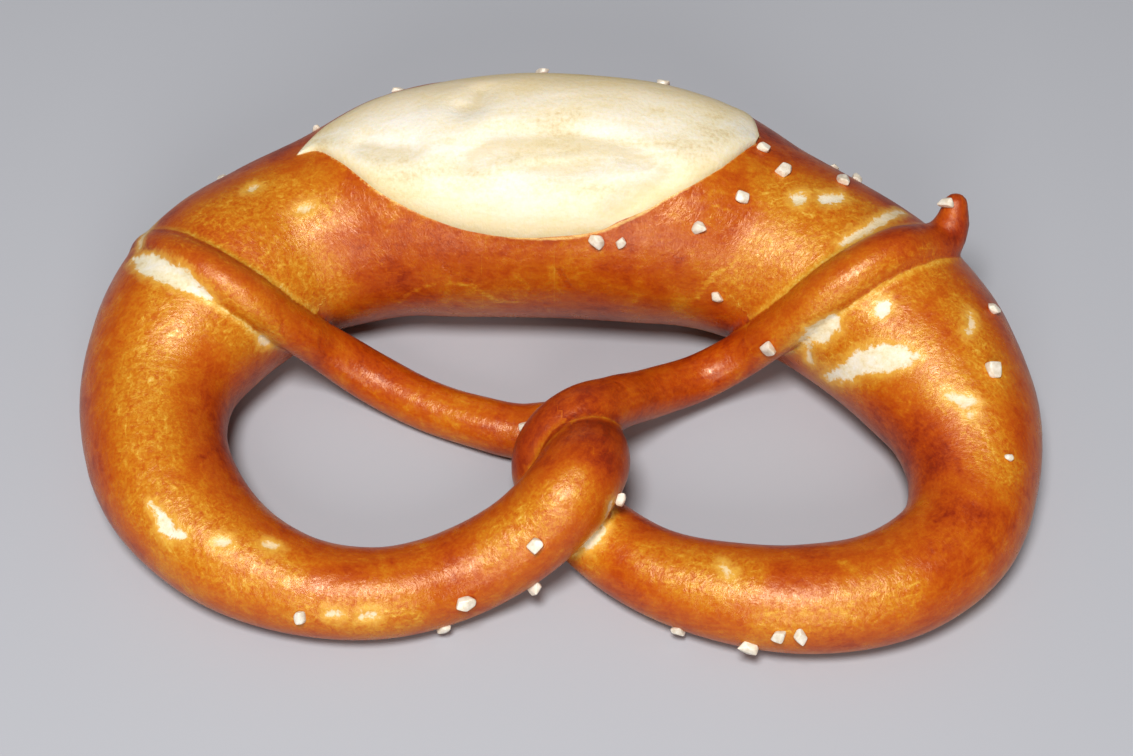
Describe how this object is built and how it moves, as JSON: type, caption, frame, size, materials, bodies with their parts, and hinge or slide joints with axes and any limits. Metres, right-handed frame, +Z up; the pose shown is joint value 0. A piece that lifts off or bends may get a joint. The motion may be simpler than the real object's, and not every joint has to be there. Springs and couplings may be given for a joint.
{
  "type": "soft pretzel",
  "caption": "Soft lye pretzel: a looped and twisted rope of dough with a thick belly split open to pale crumb, two thin arms laid on its shoulders, and coarse salt on the crust.",
  "frame": {"origin": "under the middle of the bounding box, on the plane the pretzel lies on", "axes": "+X to the right as it is seen in the picture, +Y from the twist towards the thick belly, +Z up"},
  "size_m": [0.1632, 0.1136, 0.0399],
  "materials": {
    "crust": "glossy orange-brown baked lye crust, darker at its upper bends and where strands meet",
    "crumb": "matt pale cream crumb where the crust has split",
    "salt": "coarse whitish salt crystals, slightly clear"
  },
  "bodies": {
    "root": {"pretzel": "crust"}
  },
  "joints": []
}
